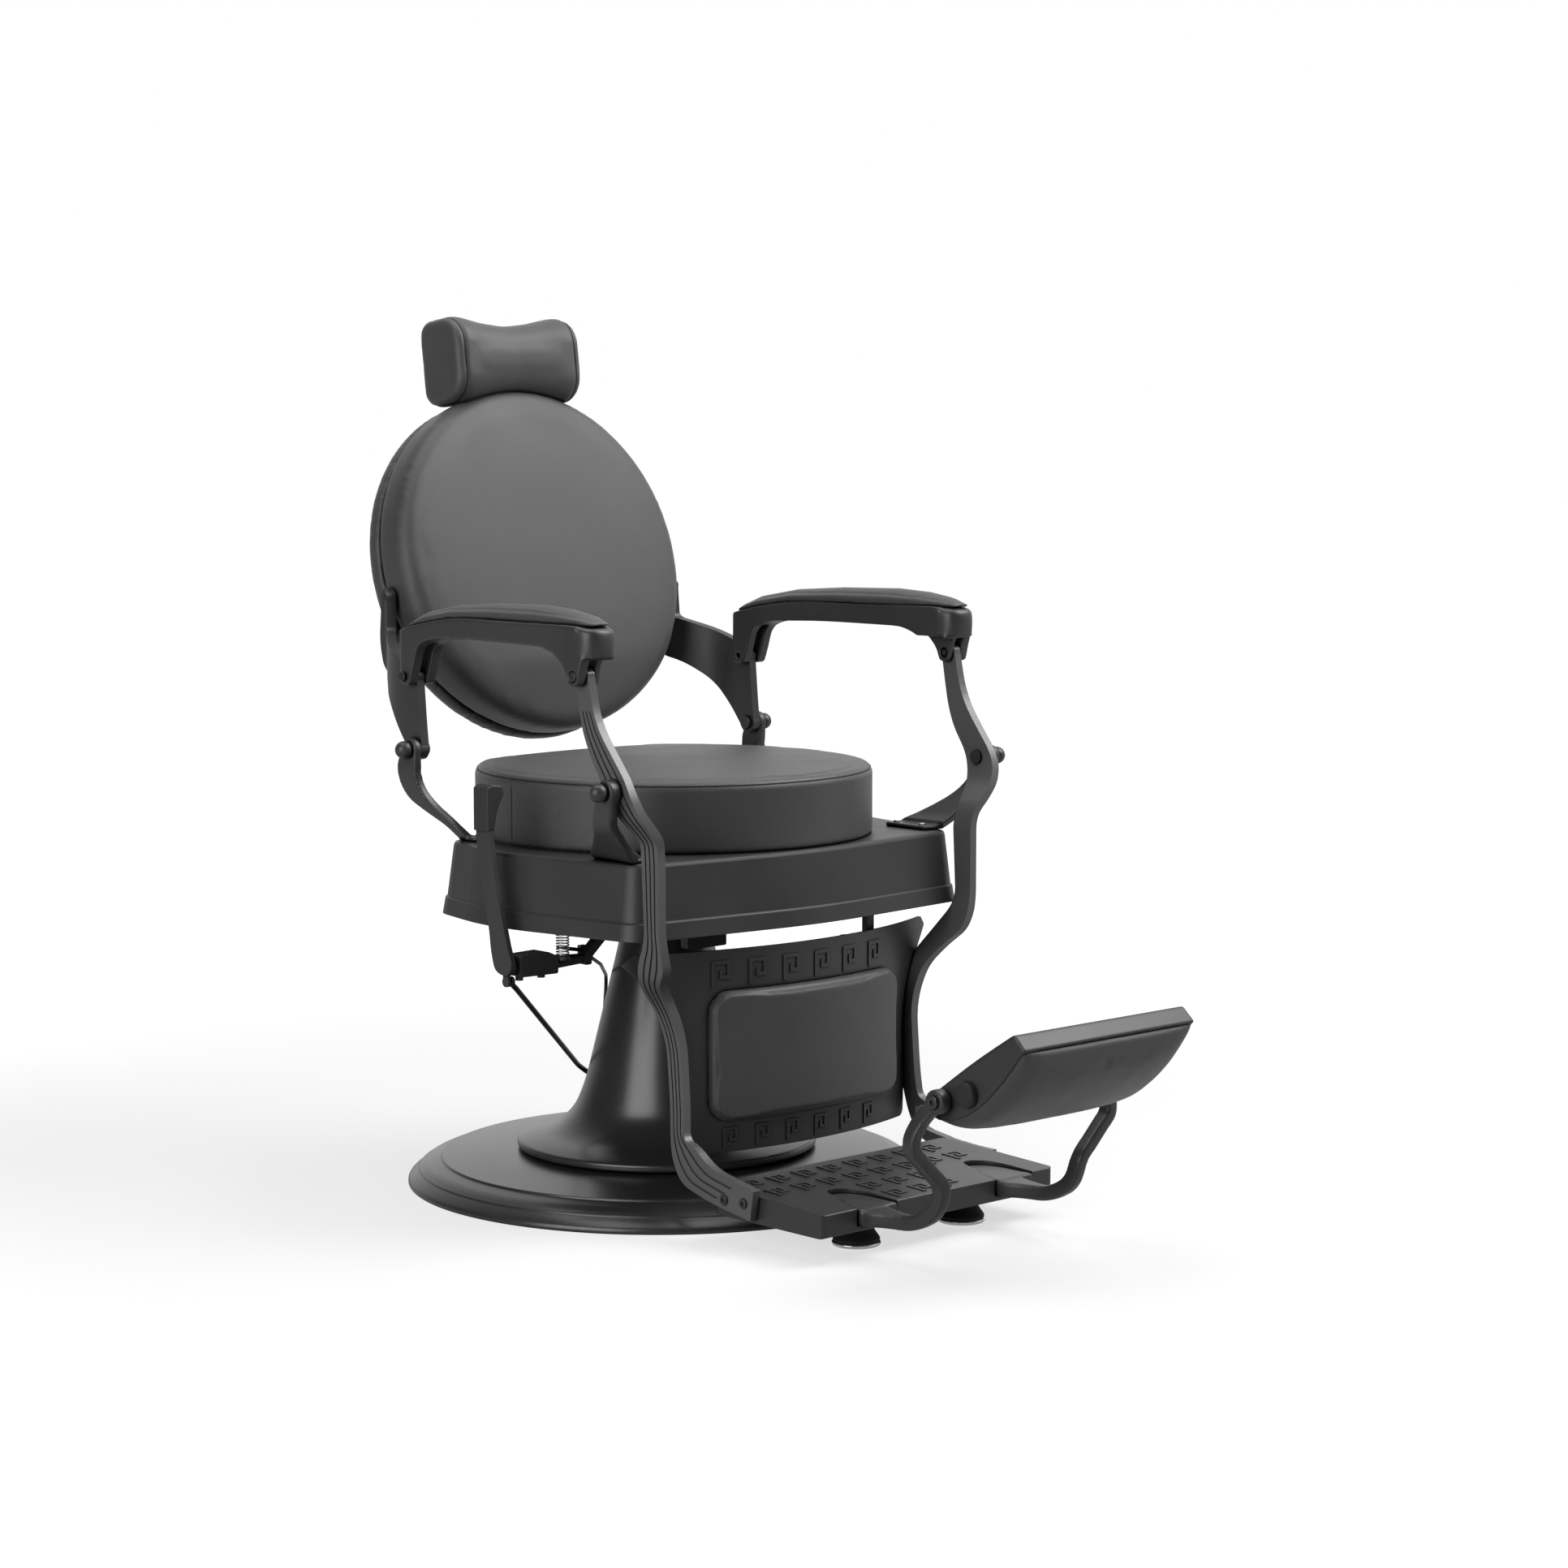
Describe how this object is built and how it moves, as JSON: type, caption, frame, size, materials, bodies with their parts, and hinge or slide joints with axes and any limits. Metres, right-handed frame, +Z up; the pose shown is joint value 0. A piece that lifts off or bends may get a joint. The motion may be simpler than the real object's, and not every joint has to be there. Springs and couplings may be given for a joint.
{
  "type": "barber chair",
  "caption": "Hydraulic barber chair with a round reclining back, headrest, padded armrests, bell base, leg panel, footplate and a folding footrest.",
  "frame": {"origin": "centre of the base's underside on the floor, on the axis of the column", "axes": "+Z up along the column; -Y is the way the sitter faces; +X is the sitter's left"},
  "size_m": [0.715, 1.1951, 1.1445],
  "materials": {
    "gloss_enamel": "semi-gloss black enamel",
    "satin_casting": "satin black paint on cast metal",
    "sheet_metal": "satin black paint on sheet steel",
    "leatherette": "smooth black leatherette over foam",
    "chrome_ring": "polished",
    "bright_steel": "ground",
    "dark_steel": "blackened",
    "machined_steel": "machined",
    "bronze": "bearing bronze",
    "black_rubber": "matt rubber",
    "plywood": "birch plywood",
    "grip_plastic": "matt black"
  },
  "bodies": {
    "base": {"base_disc": "gloss_enamel", "base_plate": "sheet_metal", "swivel_post": "machined_steel", "swivel_bearing": "bronze"},
    "column": {"bell_cover": "gloss_enamel", "bell_foot": "satin_casting", "column_bush": "bronze", "hydraulic_ram": "machined_steel"},
    "seat": {"lift_column": "machined_steel", "column_gland": "machined_steel", "pump_block": "satin_casting", "seat_subframe": "sheet_metal", "seat_tray": "sheet_metal", "seat_board": "plywood", "seat_cushion": "leatherette", "front_seat_brackets": "satin_casting", "rear_seat_brackets": "satin_casting", "front_pivot_pins": "satin_casting", "rear_pivot_pins": "satin_casting", "bracket_screws": "bright_steel", "release_rod": "dark_steel", "valve_block": "satin_casting", "lock_cylinder": "dark_steel", "leg_stop": "sheet_metal", "lever_hanger": "sheet_metal", "lever_spring": "bright_steel"},
    "back": {"back_cushion": "leatherette", "back_shell": "leatherette", "headrest_socket": "machined_steel", "back_bracket_left": "satin_casting", "back_bracket_right": "satin_casting", "back_screws": "dark_steel", "armrest_rear_pins": "dark_steel"},
    "headrest": {"headrest_cushion": "leatherette", "headrest_stem": "dark_steel"},
    "armrest_left": {"armrest_casting_left": "satin_casting", "armrest_pad_left": "leatherette"},
    "armrest_right": {"armrest_casting_right": "satin_casting", "armrest_pad_right": "leatherette"},
    "leg_frame": {"front_strut_left": "satin_casting", "front_strut_right": "satin_casting", "armrest_front_pins": "dark_steel", "leg_panel": "satin_casting", "leg_crossbars": "sheet_metal", "calf_cushion": "leatherette", "footplate": "satin_casting", "strut_bolts": "dark_steel", "glide_cones": "black_rubber", "glide_rings": "chrome_ring", "footrest_arm_left": "satin_casting", "footrest_arm_right": "satin_casting", "footrest_screws": "dark_steel"},
    "footrest": {"footrest_tray": "sheet_metal", "footrest_cushion": "leatherette", "footrest_stops": "black_rubber"},
    "lever": {"side_lever": "satin_casting", "lever_grip": "grip_plastic", "lever_hub": "satin_casting"},
    "pump": {"pump_rod": "dark_steel"},
    "lock": {"lock_rod": "dark_steel"}
  },
  "joints": [
    {"name": "swivel", "type": "hinge", "parent": "base", "child": "column", "pos_m": [0, 0, 0.03], "axis": [0, 0, 1], "continuous": true},
    {"name": "lift", "type": "slide", "parent": "column", "child": "seat", "axis": [0, 0, 1], "range_m": [0, 0.13]},
    {"name": "recline", "type": "hinge", "parent": "seat", "child": "back", "pos_m": [0, 0.1524, 0.5831], "axis": [-1, 0, 0], "range_deg": [0, 34]},
    {"name": "headrest_height", "type": "slide", "parent": "back", "child": "headrest", "axis": [0, 0.2588, 0.9659], "range_m": [0, 0.07]},
    {"name": "armrest_left_tilt", "type": "hinge", "parent": "back", "child": "armrest_left", "pos_m": [0.29, 0.155, 0.678], "axis": [-1, 0, 0], "range_deg": [-37.99, 1]},
    {"name": "armrest_right_tilt", "type": "hinge", "parent": "back", "child": "armrest_right", "pos_m": [-0.29, 0.155, 0.678], "axis": [-1, 0, 0], "range_deg": [-37.99, 1]},
    {"name": "leg_raise", "type": "hinge", "parent": "seat", "child": "leg_frame", "pos_m": [0, -0.2747, 0.5627], "axis": [-1, 0, 0], "range_deg": [-0.5, 25.12]},
    {"name": "footrest_flip", "type": "hinge", "parent": "leg_frame", "child": "footrest", "pos_m": [0, -0.666, 0.218], "axis": [-1, 0, 0], "range_deg": [0, 150]},
    {"name": "lever_turn", "type": "hinge", "parent": "seat", "child": "lever", "pos_m": [-0.3, -0.09, 0.328], "axis": [1, 0, 0], "range_deg": [-15, 15], "stiffness_Nm_per_rad": 8, "deforming": ["lever_spring"]},
    {"name": "pump_stroke", "type": "slide", "parent": "seat", "child": "pump", "axis": [0, 1, 0], "range_m": [-0.006, 0.006]},
    {"name": "lock_travel", "type": "slide", "parent": "seat", "child": "lock", "axis": [0, -0.9882, 0.153], "range_m": [-0.001, 0.106]}
  ],
  "couplings": [
    {"joint": "armrest_left_tilt", "follows": "recline", "ratio": -1.088},
    {"joint": "armrest_right_tilt", "follows": "recline", "ratio": -1.088},
    {"joint": "leg_raise", "follows": "recline", "ratio": 0.724},
    {"joint": "lock_travel", "follows": "recline", "m_per_rad": 0.1707},
    {"joint": "pump_stroke", "follows": "lever_turn", "m_per_rad": 0.017}
  ]
}
